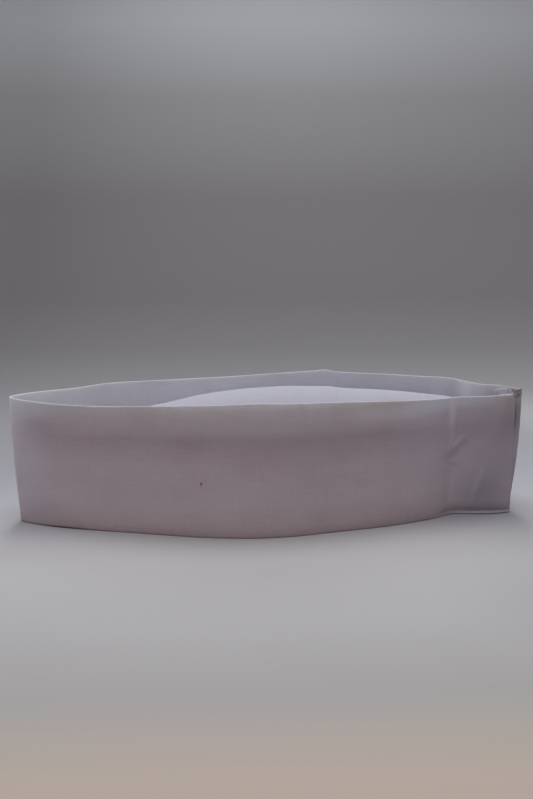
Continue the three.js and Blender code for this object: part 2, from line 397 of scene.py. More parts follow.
    @property
    def span(self) -> tuple[float, float]:
        """The shares between which the band and the crown lie."""
        end = 1 - (self.tuck_length + self.layer_gap) / self.rim_length
        return self.fold_setback / self.rim_length, end

    @property
    def band_top(self) -> float:
        """The level of the band's top edge."""
        return self.band_height / self.cuff_height


def resample(
    rows: np.ndarray, spacing: float, soften: float, corners: tuple[float, ...] = ()
) -> tuple[np.ndarray, np.ndarray]:
    """Evens out the columns of a grid along its rows and rounds its corners.

    Args:
        rows: Points, by row, column and x, y, z.
        spacing: The wanted distance between columns.
        soften: Over what length a corner is rounded.
        corners: Distances along the middle row near which the columns stand closer.

    Returns:
        The new grid, and the distance of each column along the middle row.
    """
    run = run_along(rows[len(rows) // 2])
    fine = np.linspace(0, run[-1], int(run[-1] / FINE_STEP) + 1)
    dense = np.stack([[np.interp(fine, run, row[:, k]) for k in range(3)] for row in rows])
    reach = int(3 * soften / FINE_STEP)
    kernel = np.exp(-((np.arange(-reach, reach + 1) * FINE_STEP / soften) ** 2) / 2)
    padded = np.pad(dense, ((0, 0), (0, 0), (reach, reach)), mode="reflect", reflect_type="odd")
    smooth = np.apply_along_axis(np.convolve, 2, padded, kernel / kernel.sum(), mode="valid")
    crowding = np.full(len(fine), 1 / spacing)
    for corner in corners:
        near = np.exp(-(((fine - corner) / CROWD_REACH) ** 2))
        crowding += (CORNER_CROWDING - 1 / spacing) * near
    count = np.concatenate([[0], np.cumsum((crowding[1:] + crowding[:-1]) / 2 * np.diff(fine))])
    places = np.interp(np.linspace(0, count[-1], int(round(count[-1])) + 1), count, fine)
    out = np.stack([[np.interp(places, fine, row[k]) for k in range(3)] for row in smooth])
    return out.transpose(0, 2, 1), places


def select_only(obj: bpy.types.Object) -> None:
    """Deselects everything else, and makes an object the active one.

    Args:
        obj: The object.
    """
    bpy.ops.object.select_all(action="DESELECT")
    obj.select_set(True)
    bpy.context.view_layer.objects.active = obj


def apply_modifier(obj: bpy.types.Object, kind: str, **values: object) -> None:
    """Adds a modifier and applies it.

    Args:
        obj: The object.
        kind: The modifier's type.
        values: The modifier's own settings.
    """
    modifier = obj.modifiers.new(kind.lower(), kind)
    for name, value in values.items():
        setattr(modifier, name, value)
    select_only(obj)
    bpy.ops.object.modifier_apply(modifier=modifier.name)


def fill_grid(piece: bpy.types.Object, points: np.ndarray, uv: np.ndarray) -> None:
    """Moves a flat grid's corners to given places, and gives its faces their place on the cloth.

    Args:
        piece: The grid, one unit wide and deep.
        points: Places in millimetres, by row and column.
        uv: Distances along and up the cloth in millimetres, by row and column.
    """
    rows, columns = points.shape[:2]
    mesh = piece.data
    co = np.empty(len(mesh.vertices) * 3)
    mesh.vertices.foreach_get("co", co)
    co = co.reshape(-1, 3)
    column = np.rint((co[:, 0] + 0.5) * (columns - 1)).astype(int)
    row = np.rint((co[:, 1] + 0.5) * (rows - 1)).astype(int)
    mesh.vertices.foreach_set("co", (points[row, column] * MM).ravel())
    corner = np.empty(len(mesh.loops), dtype=np.int32)
    mesh.loops.foreach_get("vertex_index", corner)
    layer = mesh.uv_layers[0]
    layer.name = "cloth"
    layer.data.foreach_set("uv", uv[row[corner], column[corner]].ravel())


def thicken(piece: bpy.types.Object, wall: float) -> None:
    """Gives a sheet its thickness, inwards from its outer face, and soft edges.

    Args:
        piece: The sheet.
        wall: The thickness in millimetres.
    """
    apply_modifier(piece, "SOLIDIFY", thickness=wall * MM, offset=-1.0)
    apply_modifier(
        piece,
        "BEVEL",
        width=EDGE_SHARE * wall * MM,
        segments=2,
        limit_method="ANGLE",
        angle_limit=math.radians(EDGE_ANGLE),
    )
    select_only(piece)
    bpy.ops.object.shade_smooth()


def lay_cloth(
    name: str, points: np.ndarray, uv: np.ndarray, wall: float, closes: bool = False
) -> bpy.types.Object:
    """Lays a grid of cloth over given points and gives it its thickness and soft edges.

    Args:
        name: The piece's name.
        points: Places in millimetres, by row and column. Seen from outside, the rows run from
            left to right and rise, so that faces point outwards.
        uv: Distances along and up the cloth in millimetres, by row and column.
        wall: The cloth's thickness in millimetres.
        closes: Whether the last column meets the first.

    Returns:
        The finished piece.
    """
    rows, columns = points.shape[:2]
    bpy.ops.object.select_all(action="DESELECT")
    bpy.ops.mesh.primitive_grid_add(x_subdivisions=columns - 1, y_subdivisions=rows - 1, size=1)
    piece = bpy.context.object
    piece.name = piece.data.name = name
    fill_grid(piece, points, uv)
    if closes:
        bpy.ops.object.mode_set(mode="EDIT")
        bpy.ops.mesh.select_all(action="SELECT")
        bpy.ops.mesh.remove_doubles(threshold=MERGE_DISTANCE)
        bpy.ops.object.mode_set(mode="OBJECT")
    thicken(piece, wall)
    return piece


def hand_over(piece: bpy.types.Object, slot: str, *nodes: str) -> None:
    """Gives a piece to the cap's body and hides the solids that it stands for.

    Args:
        piece: The piece.
        slot: The material slot's name; not used.
        nodes: The solids that the piece replaces, if it does.
    """
    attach(piece, BODY)
    if nodes:
        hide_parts(*nodes)
    LOG.info("%s: %d faces", piece.name, len(piece.data.polygons))


class NodeBuilder:
    """Adds and joins nodes in one node tree."""

    def __init__(self, tree: bpy.types.NodeTree) -> None:
        """Keeps the tree that nodes are added to."""
        self.tree = tree

    def add(
        self, kind: str, inputs: dict[str | int, object] | None = None, **values: object
    ) -> bpy.types.Node:
        """Adds a node.

        Args:
            kind: The node's type.
            inputs: A plain value, or an output socket to join, for each input by name or number.
            values: The node's own settings.

        Returns:
            The new node.
        """
        node = self.tree.nodes.new(kind)
        for name, value in values.items():
            setattr(node, name, value)
        for key, value in (inputs or {}).items():
            if isinstance(value, Socket):
                self.tree.links.new(value, node.inputs[key])
            else:
                node.inputs[key].default_value = value
        return node

    def math(self, operation: str, *values: object) -> Socket:
        """Adds a math node over sockets and numbers, and returns its result."""
        inputs = dict(enumerate(values))
        return self.add("ShaderNodeMath", inputs, operation=operation).outputs[0]

    def vector(self, operation: str, inputs: dict[str | int, object]) -> Socket:
        """Adds a vector math node over named inputs, and returns its vector."""
        return self.add("ShaderNodeVectorMath", inputs, operation=operation).outputs[0]

    def mix(
        self, share: Socket | float, first: Socket | Color, second: Socket | Color, **values: object
    ) -> Socket:
        """Mixes two colours.

        Args:
            share: How much there is of the second.
            first: The first colour.
            second: The second colour.
            values: The node's own settings.

        Returns:
            The mixed colour.
        """
        pair = [c if isinstance(c, Socket) else (*c, 1.0) for c in (first, second)]
        inputs = {0: share, 6: pair[0], 7: pair[1]}
        return self.add("ShaderNodeMix", inputs, data_type="RGBA", **values).outputs[2]

    def noise(self, place: Socket, stretch: tuple[float, float], detail: float) -> Socket:
        """Adds noise over the cloth and returns its value.

        Args:
            place: Distances along and up the cloth, in millimetres.
            stretch: How many swells a millimetre holds along and up the cloth.
            detail: How many octaves the noise has.

        Returns:
            The noise, from 0 to 1.
        """
        scaled = self.vector("MULTIPLY", {0: place, 1: (*stretch, 1.0)})
        inputs = {"Vector": scaled, "Scale": 1.0, "Detail": detail}
        return self.add("ShaderNodeTexNoise", inputs).outputs[0]

    def ramp(
        self, value: Socket, low: float, high: float, to: tuple[float, float] = (0.0, 1.0)
    ) -> Socket:
        """Maps a value smoothly from one range to another.

        Args:
            value: The value.
            low: Where the range starts.
            high: Where the range ends.
            to: What the two ends become.

        Returns:
            The result.
        """
        node = self.add("ShaderNodeMapRange", {"Value": value}, interpolation_type="SMOOTHSTEP")
        limits = {"From Min": low, "From Max": high, "To Min": to[0], "To Max": to[1]}
        for name, limit in limits.items():
            node.inputs[name].default_value = limit
        return node.outputs[0]

    def away(
        self,
        place: Socket,
        middle: tuple[float, float],
        half: tuple[float, float],
        lean: float = 0.0,
    ) -> Socket:
        """Measures how far places are from the middle of an oval.

        Args:
            place: The places.
            middle: The oval's middle.
            half: The oval's half sizes.
            lean: How far the oval is turned, in radians.

        Returns:
            The distance, which is 1 on the oval.
        """
        near = self.add(
            "ShaderNodeMapping",
            {
                "Vector": place,
                "Location": (*middle, 0.0),
                "Rotation": (0.0, 0.0, lean),
                "Scale": (*half, 1.0),
            },
            vector_type="TEXTURE",
        )
        length = self.add("ShaderNodeVectorMath", {0: near.outputs[0]}, operation="LENGTH")
        return length.outputs["Value"]


def node_group(
    name: str, inputs: dict[str, str], outputs: dict[str, str]
) -> tuple[NodeBuilder, bpy.types.Node, bpy.types.Node]:
    """Starts a shader node group.

    Args:
        name: The group's name.
        inputs: Socket kinds by input name.
        outputs: Socket kinds by output name.

    Returns:
        A builder for the group's tree, its input node and its output node.
    """
    tree = bpy.data.node_groups.new(name, "ShaderNodeTree")
    for label, kind in inputs.items():
        tree.interface.new_socket(label, in_out="INPUT", socket_type=f"NodeSocket{kind}")
    for label, kind in outputs.items():
        tree.interface.new_socket(label, in_out="OUTPUT", socket_type=f"NodeSocket{kind}")
    build = NodeBuilder(tree)
    return build, build.add("NodeGroupInput"), build.add("NodeGroupOutput")


def weave_group() -> bpy.types.NodeTree:
    """Makes the plain weave: crossing threads of uneven thickness.

    Returns:
        A group from a place on the cloth in millimetres to a height and a tone.
    """
    build, given, result = node_group(
        "plain_weave", {"Place": "Vector", "Pitch": "Float"}, {"Height": "Float", "Tone": "Float"}
    )
    place = given.outputs["Place"]
    wander = build.noise(place, (0.11, 0.11), 1.0)
    split = build.add("ShaderNodeSeparateXYZ", {0: place})
    turns = build.math("DIVIDE", math.pi, given.outputs["Pitch"])
    drift = build.math("MULTIPLY", wander, 1.4)
    waves = []
    for axis in (0, 1):
        moved = build.math("ADD", split.outputs[axis], drift)
        waves.append(build.math("SINE", build.math("MULTIPLY", moved, turns)))
    over = build.math("MULTIPLY", waves[0], waves[1])
    gaps = build.math("MULTIPLY", *(build.math("ABSOLUTE", wave) for wave in waves))
    threads = build.math(
        "ADD", build.math("MULTIPLY", over, 0.5), build.math("MULTIPLY", gaps, 0.5)
    )
    weft = build.noise(place, (0.07, 2.1), 2.0)
    warp = build.noise(place, (2.1, 0.07), 2.0)
    slub = build.math("ADD", build.math("MULTIPLY", weft, 0.6), build.math("MULTIPLY", warp, 0.4))
    height = build.math("ADD", threads, build.math("MULTIPLY", slub, 1.6))
    build.tree.links.new(height, result.inputs["Height"])
    tone = build.math("ADD", build.math("MULTIPLY", threads, 0.25), slub)
    build.tree.links.new(tone, result.inputs["Tone"])
    return build.tree


def wear_group() -> bpy.types.NodeTree:
    """Makes the handling marks: a broad mottle, and greyer cloth near the two edges.

    Returns:
        A group from a place on the cloth in millimetres to one mask.
    """
    build, given, result = node_group(
        "handling_marks", {"Place": "Vector", "Top Edge": "Float"}, {"Mask": "Float"}
    )
    place = given.outputs["Place"]
    up = build.add("ShaderNodeSeparateXYZ", {0: place}).outputs[1]
    low = build.ramp(up, 0.0, 5.0, (1.0, 0.0))
    below = build.math("SUBTRACT", given.outputs["Top Edge"], up)
    high = build.ramp(below, 0.0, 2.5, (0.5, 0.0))
    patches = build.ramp(build.noise(place, (0.045, 0.06), 3.0), 0.4, 0.75)
    blots = build.ramp(build.noise(place, (0.16, 0.2), 3.0), 0.5, 0.85)
    edges = build.math("MULTIPLY", build.math("ADD", low, high), build.math("ADD", blots, 0.35))
    mask = build.math("ADD", build.math("MULTIPLY", patches, 0.5), edges)
    mask = build.math("ADD", mask, build.math("MULTIPLY", blots, 0.25))
    build.tree.links.new(mask, result.inputs["Mask"])
    return build.tree


def fill_ramp(ramp: bpy.types.Node, stops: list[tuple[float, Color]]) -> None:
    """Sets a colour ramp's stops.

    Args:
        ramp: The colour ramp node.
        stops: A place from 0 to 1 and a colour for each stop.
    """
    elements = ramp.color_ramp.elements
    while len(elements) < len(stops):
        elements.new(1.0)
    for element, (place, color) in zip(elements, stops):
        element.position = place
        element.color = (*color, 1.0)


@dataclass(frozen=True)
class Mark:
    """A stain or a patch of painted light and shade on the cloth: its place, half sizes, lean,
    strength and colour.
    """

    along: float
    up: float
    half_width: float
    half_height: float
    lean: float
    strength: float
    color: Color
    ragged: float = 0.9
    soft: float = 0.9


@dataclass(frozen=True)
class Cotton:
    """White cotton cloth, woven in a plain weave and slightly see-through to light."""

    name: str
    color: Color
    worn_color: Color
    top_edge: float
    pitch: float = 0.42
    relief: float = 0.09
    glow: float = 0.3
    # Stains, and patches of painted light and shade.
    marks: tuple[Mark, ...] = ()
    # Painted light and shade by height up the near wall, as tones to multiply by; waver is how far
    # their edges wander.
    painted_light_tones: tuple[tuple[float, Color], ...] = ()
    waver: float = 5.0
    # The painted contact shade at the foot of the wall: how high it reaches and how dark it starts.
    foot_shade_height: float = 1.2
    foot_painted_shade: float = 0.5
    # The span of the far wall's inner face that gets painted light, and that painted light.
    far_span: tuple[float, float] = (0.0, 0.0)
    far_painted_light: Color = (1.0, 1.0, 1.0)

    def make(self, weave: bpy.types.NodeTree, wear: bpy.types.NodeTree) -> bpy.types.Material:
        """Builds the material.

        Args:
            weave: The plain weave group.
            wear: The handling marks group.

        Returns:
            The new material.
        """
        material = bpy.data.materials.new(self.name)
        material.use_nodes = True
        tree = material.node_tree
        tree.nodes.clear()
        build = NodeBuilder(tree)
        place = build.add("ShaderNodeUVMap", uv_map="cloth").outputs[0]
        woven = build.add("ShaderNodeGroup", node_tree=weave)
        tree.links.new(place, woven.inputs["Place"])
        woven.inputs["Pitch"].default_value = self.pitch
        worn = build.add("ShaderNodeGroup", node_tree=wear)
        tree.links.new(place, worn.inputs["Place"])
        worn.inputs["Top Edge"].default_value = self.top_edge
        shade = build.ramp(woven.outputs["Tone"], 0.2, 0.9, (0.9, 1.06))
        color = build.mix(worn.outputs["Mask"], self.color, self.worn_color)
        color = build.vector("SCALE", {0: color, "Scale": shade})
        if self.painted_light_tones:
            color = self.tone(build, place, color)
        for mark in self.marks:
            color = self.lay_stain_or_painted_light(build, place, color, mark)
        bump = build.add(
            "ShaderNodeBump",
            {"Strength": 0.8, "Distance": self.relief * MM, "Height": woven.outputs["Height"]},
        ).outputs[0]
        solid = build.add(
            "ShaderNodeBsdfPrincipled",
            {
                "Base Color": color,
                "Roughness": build.ramp(woven.outputs["Tone"], 0.2, 0.9, (0.96, 0.86)),
                "Specular IOR Level": 0.25,
                "Sheen Weight": 0.12,
                "Sheen Roughness": 0.6,
                "Normal": bump,
            },
        )
        through = build.add("ShaderNodeBsdfTranslucent", {"Color": color, "Normal": bump})
        mixed = build.add(
            "ShaderNodeMixShader", {0: self.glow, 1: solid.outputs[0], 2: through.outputs[0]}
        )
        build.add("ShaderNodeOutputMaterial", {0: mixed.outputs[0]})
        return material

    def tone(self, build: NodeBuilder, place: Socket, color: Socket) -> Socket:
        """Multiplies a colour by the painted light and shade of both walls and of the foot.

        Args:
            build: The material's builder.
            place: Distances along and up the cloth, in millimetres.
            color: The colour beneath.

        Returns:
            The toned colour.
        """
        along, up = build.add("ShaderNodeSeparateXYZ", {0: place}).outputs[:2]
        wavy = build.math("MULTIPLY", build.noise(place, (0.03, 0.0), 2.0), self.waver)
        height = build.math("ADD", up, build.math("SUBTRACT", wavy, self.waver / 2))
        ramp = build.add("ShaderNodeValToRGB", {0: build.math("DIVIDE", height, PAINTED_LIGHT_REACH)})
        fill_ramp(ramp, [(stop / PAINTED_LIGHT_REACH, tone) for stop, tone in self.painted_light_tones])
        start, end = self.far_span
        past = build.ramp(along, start - 2.0, start + 4.0)
        past = build.math("MULTIPLY", past, build.ramp(along, end - 4.0, end - 1.0, (1.0, 0.0)))
        chosen = build.mix(past, ramp.outputs[0], self.far_painted_light)
        toned = build.mix(1.0, color, chosen, blend_type="MULTIPLY")
        foot = build.ramp(up, 0.0, self.foot_shade_height, (self.foot_painted_shade, 1.0))
        return build.vector("SCALE", {0: toned, "Scale": foot})

    @staticmethod
    def lay_stain_or_painted_light(build: NodeBuilder, place: Socket, color: Socket, mark: Mark) -> Socket:
        """Lays one mark, a stain or a patch of painted light and shade, over a colour.

        Args:
            build: The material's builder.
            place: Distances along and up the cloth, in millimetres.
            color: The colour beneath.
            mark: The mark.

        Returns:
            The colour with the mark on it.
        """
        middle, half = (mark.along, mark.up), (mark.half_width, mark.half_height)
        away = build.away(place, middle, half, mark.lean)
        ragged = build.math("MULTIPLY", build.noise(place, (2.2, 1.1), 2.0), mark.ragged)
        reach = build.math("ADD", away, ragged)
        mask = build.ramp(reach, MARK_END - mark.soft, MARK_END, (mark.strength, 0.0))
        return build.mix(mask, color, mark.color)


@dataclass(frozen=True)
class Thread:
    """Sewing thread, twisted, in one colour."""

    name: str
    color: Color

    def make(self) -> bpy.types.Material:
        """Builds the material, with the twist as fine slanting bands.

        Returns:
            The new material.
        """
        material = bpy.data.materials.new(self.name)
        material.use_nodes = True
        build = NodeBuilder(material.node_tree)
        solid = material.node_tree.nodes["Principled BSDF"]
        place = build.add("ShaderNodeTexCoord").outputs["Object"]
        bands = build.add(
            "ShaderNodeTexWave",
            {"Vector": place, "Scale": 900.0, "Distortion": 2.0},
            bands_direction="DIAGONAL",
        )
        dark = tuple(0.7 * part for part in self.color)
        color = build.mix(bands.outputs[1], dark, self.color)
        bump = build.add(
            "ShaderNodeBump", {"Strength": 0.6, "Distance": 0.00006, "Height": bands.outputs[1]}
        )
        material.node_tree.links.new(color, solid.inputs["Base Color"])
        material.node_tree.links.new(bump.outputs[0], solid.inputs["Normal"])
        solid.inputs["Roughness"].default_value = 0.8
        return material


@dataclass
class OuterCuff:
    """The tall wall of doubled cloth, folded at one end and tucked behind itself at the other."""

    form: CapForm
    spacing: float = 1.25
    levels: int = 46
    corner_radius: float = 0.45
    settling: float = 0.75
    # The low part of the cuff where the rows stand closer, and the end where the columns do.
    hem_share: float = 0.07
    end_share: float = 0.03
    seam_run: float = 0.0

    def grid(self) -> tuple[np.ndarray, np.ndarray]:
        """Works out the cuff's outer face.

        Returns:
            Points by row and column, and the distance of each column from the near seam.
        """
        form = self.form
        low, end = self.hem_share, self.end_share
        level = np.concatenate([np.linspace(0, low, 10)[:-1], np.linspace(low, 1, self.levels)])
        level = level[:, None]
        close = np.concatenate([np.linspace(0, end, 40)[:-1], np.linspace(end, 1, 500)])
        near = form.face(Wall.NEAR, close[::-1][None, :], level, 0.0)
        lift = form.cuff_lift * smoothstep(close[::-1], form.lift_start, form.lift_end)
        lift = lift * (1 - self.settling)
        near[..., 2] += lift * (1 - level)
        far = form.face(Wall.FAR, close[None, 1:], level, 0.0)
        back = np.linspace(1, 1 - form.tuck_length / form.rim_length, 12)[None, :]
        tuck = form.face(Wall.NEAR, back, level, form.cuff_wall + form.layer_gap)
        path = np.concatenate([near, far, tuck], axis=1)
        run = run_along(path[len(path) // 2])
        fold, seam = near.shape[1] - 1, near.shape[1] + far.shape[1] - 1
        corners = (run[fold], run[seam], run[seam + 1])
        self.seam_run = float(run[seam])
        return resample(path, self.spacing, self.corner_radius, corners)

    def build(self) -> bpy.types.Object:
        """Makes the cuff's mesh.

        Returns:
            The cuff.
        """
        points, run = self.grid()
        points, run = points[:, ::-1], run[::-1]
        up = points[..., 2]
        uv = np.stack([np.broadcast_to(run, up.shape), up], axis=-1)
        return lay_cloth("cuff_cloth", points, uv, self.form.cuff_wall)

    def run_of(self, at: float) -> float:
        """Measures along the cloth, below half its height, from the near seam to a place.

        Args:
            at: The place's share along the near wall.

        Returns:
            The distance in millimetres.
        """
        share = np.linspace(1, at, 400)
        path = self.form.face(Wall.NEAR, share, np.full(400, 0.45), 0.0)
        return float(np.linalg.norm(np.diff(path, axis=0), axis=1).sum())

    def finish(self) -> Cotton:
        """Describes the cuff's cloth, with stains and painted light and shade by distances along
        it.

        Returns:
            The finish.
        """
        at = self.run_of
        fleck = at(0.3685)
        fold = at(0.0)
        seam = self.seam_run
        brown = (0.27, 0.13, 0.05)
        # Colours of painted shade and painted light for the marks below.
        shade = (0.33, 0.33, 0.4)
        light = (0.97, 0.98, 1.0)
        return Cotton(
            name="cuff_cotton",
            color=(0.83, 0.8, 0.82),
            worn_color=(0.75, 0.71, 0.72),
            top_edge=72.5,
            glow=0.34,
            # Painted light and shade up the near wall: a painted highlight under the top edge,
            # painted shade where the crown meets the wall, a warm cast of painted light lower down
            # and painted contact shade at the foot.
            painted_light_tones=(
                (0.0, (0.9, 0.78, 0.77)),
                (6.0, (0.99, 0.89, 0.88)),
                (18.0, (1.01, 0.94, 0.955)),
                (38.0, (0.98, 0.9, 0.93)),
                (48.0, (0.89, 0.8, 0.84)),
                (54.0, (0.81, 0.73, 0.765)),
                (60.0, (0.83, 0.78, 0.8)),
                (66.0, (0.87, 0.85, 0.85)),
                (70.0, (0.93, 0.92, 0.9)),
                (73.0, (1.08, 1.09, 1.1)),
            ),
            # The far wall's inner face, from the fold to the seam, gets painted light.
            far_span=(fold, seam),
            far_painted_light=(1.1, 1.13, 1.14),
            # The brown fleck and the two brownish marks beside it are a stain, and the faint grey
            # mark below them darkens a small streak. The darkest marks at the seam and at the near
            # wall's end are dark thread in the seam with painted shade in its gap, and the brownish
            # marks at the top of the seam are dark thread with painted shade round it. The
            # near-black line along the foot is a painted contact shadow. Every mark in shade or in
            # the dark mauve is painted shade, and every mark in light, white or the bluish colours
            # is painted light: highlights on folds, under the rim and along the foot, and the cool
            # light on the ends and on the far wall.
            marks=(
                Mark(fleck, 30.6, 0.6, 1.3, 0.3, 0.92, brown, 0.6),
                Mark(fleck - 2.6, 31.6, 0.4, 1.4, -0.15, 0.28, (0.45, 0.36, 0.3)),
                Mark(fleck - 0.3, 33.4, 0.35, 0.7, 0.1, 0.35, (0.4, 0.3, 0.24)),
                Mark(fleck + 8.0, 12.2, 4.5, 1.2, 0.1, 0.18, (0.5, 0.45, 0.45)),
                Mark(seam + 4.5, 57.5, 0.85, 7.5, 0.0, 0.65, (0.17, 0.1, 0.11), 0.4, 1.2),
                Mark(seam + 3.0, 69.5, 3.4, 2.6, 0.0, 0.6, (0.4, 0.33, 0.31), 0.7),
                Mark(0.5, 69.4, 1.1, 1.7, 0.0, 0.6, (0.4, 0.34, 0.31), 0.7),
                Mark(seam + 3.2, 56.0, 3.0, 12.0, 0.0, 0.35, (0.33, 0.28, 0.29), 0.3, 1.3),
                Mark(seam + 3.2, 20.0, 3.0, 26.0, 0.0, 0.35, shade, 0.0, 1.3),
                Mark(0.1, 56.0, 0.4, 12.0, 0.0, 0.6, (0.22, 0.14, 0.15), 0.4, 1.1),
                Mark(at(0.955), 30.0, 22.0, 36.0, 0.0, 0.3, shade, 0.0, 1.4),
                Mark(at(0.925), 10.0, 14.0, 13.0, 0.0, 0.2, shade, 0.0, 1.4),
                Mark(at(0.945), 13.0, 9.0, 13.0, 0.3, 0.16, shade, 0.0, 1.5),
                Mark(at(0.93), 4.2, 20.0, 3.0, 0.0, 0.4, shade, 0.0, 1.4),
                Mark(at(0.945), 2.55, 26.0, 0.45, 0.0, 0.5, shade, 0.0, 1.3),
                Mark(at(0.945), 0.8, 25.0, 0.9, 0.0, 0.8, (0.85, 0.86, 1.0), 0.0, 1.2),
                Mark(at(0.925), 18.8, 1.8, 11.0, 0.3, 0.2, light, 0.0, 1.5),
                Mark(at(0.872), 14.0, 2.4, 13.0, 0.05, 0.24, light, 0.0, 1.5),
                Mark(at(0.88), 38.2, 0.9, 8.0, 0.75, 0.16, shade, 0.0, 1.3),
                Mark(at(0.884), 44.0, 1.4, 4.5, 0.75, 0.3, light, 0.0, 1.4),
                Mark(at(0.878), 30.8, 3.4, 0.7, 0.33, 0.18, shade, 0.0, 1.3),
                Mark(at(0.876) + 2.2, 59.0, 2.8, 10.0, 0.0, 0.4, light, 0.0, 1.5),
                Mark(at(0.874) + 1.8, 45.0, 1.4, 5.0, 0.2, 0.28, light, 0.0, 1.5),
                Mark(at(0.08), 0.3, 24.0, 0.9, 0.0, 0.75, (0.1, 0.06, 0.06), 0.3, 1.2),
                Mark(at(0.8), 4.0, 26.0, 9.0, 0.0, 0.06, shade, 0.0, 1.5),
                Mark(at(0.84), 42.0, 30.0, 26.0, 0.0, 0.16, (0.85, 0.87, 1.0), 0.0, 1.5),
                Mark(fold + 225.0, 62.0, 60.0, 40.0, 0.0, 0.1, shade, 0.0, 1.5),
                Mark(at(0.035), 26.0, 12.0, 34.0, 0.0, 0.35, (0.8, 0.84, 0.9), 0.0, 1.5),
                Mark(at(0.055), 58.5, 11.0, 4.5, -0.1, 0.3, (0.4, 0.35, 0.42), 0.2, 1.3),
                Mark(at(0.78), 65.5, 34.0, 4.5, -0.02, 0.34, light, 0.0, 1.5),
                Mark(fold + 32.0, 62.0, 42.0, 40.0, 0.0, 0.4, light, 0.0, 1.5),
                Mark(fold + 14.0, 66.0, 18.0, 30.0, 0.0, 0.85, (1.0, 1.0, 1.0), 0.0, 1.5),
                Mark(seam - 3.5, 69.5, 3.4, 2.6, 0.0, 0.45, (0.4, 0.33, 0.31), 0.6, 1.2),
                Mark(seam + 2.8, 72.0, 2.8, 1.5, 0.0, 0.45, (0.4, 0.33, 0.31), 0.5, 1.2),
                Mark(seam - 9.0, 72.0, 4.5, 1.6, 0.0, 0.3, shade, 0.0, 1.4),
                Mark(at(0.045), 68.0, 22.0, 5.0, 0.0, 0.22, (0.72, 0.9, 0.95), 0.0, 1.5),
                Mark(at(0.87), 68.5, 27.0, 4.5, 0.0, 0.34, (0.86, 0.88, 1.0), 0.0, 1.4),
                Mark(at(0.05), 7.0, 16.0, 9.0, 0.0, 0.12, shade, 0.0, 1.5),
                Mark(fold + 272.5, 62.0, 3.6, 20.0, 0.0, 0.4, light, 0.0, 1.4),
                Mark(fold + 262.5, 62.0, 5.0, 20.0, 0.0, 0.14, shade, 0.0, 1.4),
            ),
        )


@dataclass
class InnerBand:
    """The wall inside the cuff, which carries the crown."""

    form: CapForm
    spacing: float = 1.8
    levels: int = 26
    corner_radius: float = 0.7

    def build(self) -> bpy.types.Object:
        """Makes the band's mesh, which closes on itself.

        Returns:
            The band.
        """
        form = self.form
        level = np.linspace(0, form.band_top, self.levels + 1)[:, None]
        at = np.linspace(*form.span, 380)[None, :]
        near, far = form.inside(at, level)
        loop = np.concatenate([near, far[:, -2::-1]], axis=1)
        points, run = resample(loop, self.spacing, self.corner_radius)
        points[:, -1] = points[:, 0]
        up = points[..., 2]
        uv = np.stack([np.broadcast_to(run, up.shape), up], axis=-1)
        return lay_cloth("band_cloth", points, uv, form.band_wall, closes=True)

    def finish(self) -> Cotton:
        """Describes the band's cloth.

        Returns:
            The finish.
        """
        return Cotton(
            name="band_cotton",
            color=(0.88, 0.88, 0.93),
            worn_color=(0.76, 0.74, 0.77),
            top_edge=60.0,
            glow=0.22,
        )


@dataclass
class Crown:
    """The lens-shaped top panel, arched up between the walls."""

    form: CapForm
    spacing: float = 1.7
    across: int = 48
    margin: float = 0.012
    stitch_inset: float = 2.4
    # How far from the stitches, and how deep, they draw the cloth down.
    stitch_reach: float = 0.8
    stitch_sink: float = 0.22
    # The pucker by the edge and the swells further in: how deep, how long and their patterns.
    pucker: tuple[float, float, float] = (0.18, 4, 2.2)
    pucker_reach: float = 5
    swells: tuple[tuple[float, float, float], ...] = ((0.12, 30, 6.1), (0.06, 11, 1.9))
    swell_span: tuple[float, float] = (2.0, 12.0)

    def surface(self, at: np.ndarray, share: np.ndarray) -> np.ndarray:
        """Points of the crown's upper face.

        Args:
            at: Shares along the cap.
            share: Shares across the crown, from its near edge to its far edge.

        Returns:
            x, y and z, last in the array.
        """
        form = self.form
        at, share = np.broadcast_arrays(at, share)
        near, far = form.inside(at, np.full(at.shape, form.band_top))
        width = np.linalg.norm(far - near, axis=-1)
        rise = form.crown_rise * form.curves["ridge"](at)
        steepest = 4 * rise / width
        foot = form.layer_gap + form.crown_wall * np.hypot(1, steepest)
        place = near + (far - near) * share[..., None]
        arch = 1 - (2 * share - 1) ** 2
        place[..., 2] += foot + rise * arch
        inward = np.minimum(share, 1 - share) * width
        stitched = np.exp(-(((inward - self.stitch_inset) / self.stitch_reach) ** 2))
        deep, size, seed = self.pucker
        pucker = deep * np.exp(-inward / self.pucker_reach)
        pucker = pucker * cloud(place * np.array([1, 0.4, 0]), size, seed)
        swell = sum(deep * cloud(place, size, seed) for deep, size, seed in self.swells)
        swell = smoothstep(inward, *self.swell_span) * swell
        calm = smoothstep(inward, 0.0, 1.0)
        place[..., 2] += calm * (pucker - self.stitch_sink * stitched) + swell
        return place

    def build(self) -> bpy.types.Object:
        """Makes the crown's mesh.

        Returns:
            The crown.
        """
        form = self.form
        length = (form.span[1] - form.span[0]) * form.rim_length
        count = int(length / self.spacing)
        start, end = form.span[0] + self.margin, form.span[1] - self.margin / 2
        at = np.linspace(start, end, count)[None, :]
        share = (1 - np.cos(np.linspace(0, math.pi, self.across + 1))[:, None]) / 2
        share = 0.5 * share + 0.5 * np.linspace(0, 1, self.across + 1)[:, None]
        points = self.surface(at, share)
        uv = np.stack([points[..., 0], points[..., 1]], axis=-1)
        return lay_cloth("crown_cloth", points, uv, form.crown_wall)

    def finish(self) -> Cotton:
        """Describes the crown's cloth, darker and bluer than the cuff's: painted shade and a cool
        cast.

        Returns:
            The finish.
        """
        return Cotton(
            name="crown_cotton",
            # Darker and bluer than the cuff's white cotton: painted shade and a painted cool cast
            # of light.
            color=(0.7, 0.69, 0.8),
            worn_color=(0.68, 0.67, 0.74),
            top_edge=400.0,
            glow=0.2,
        )


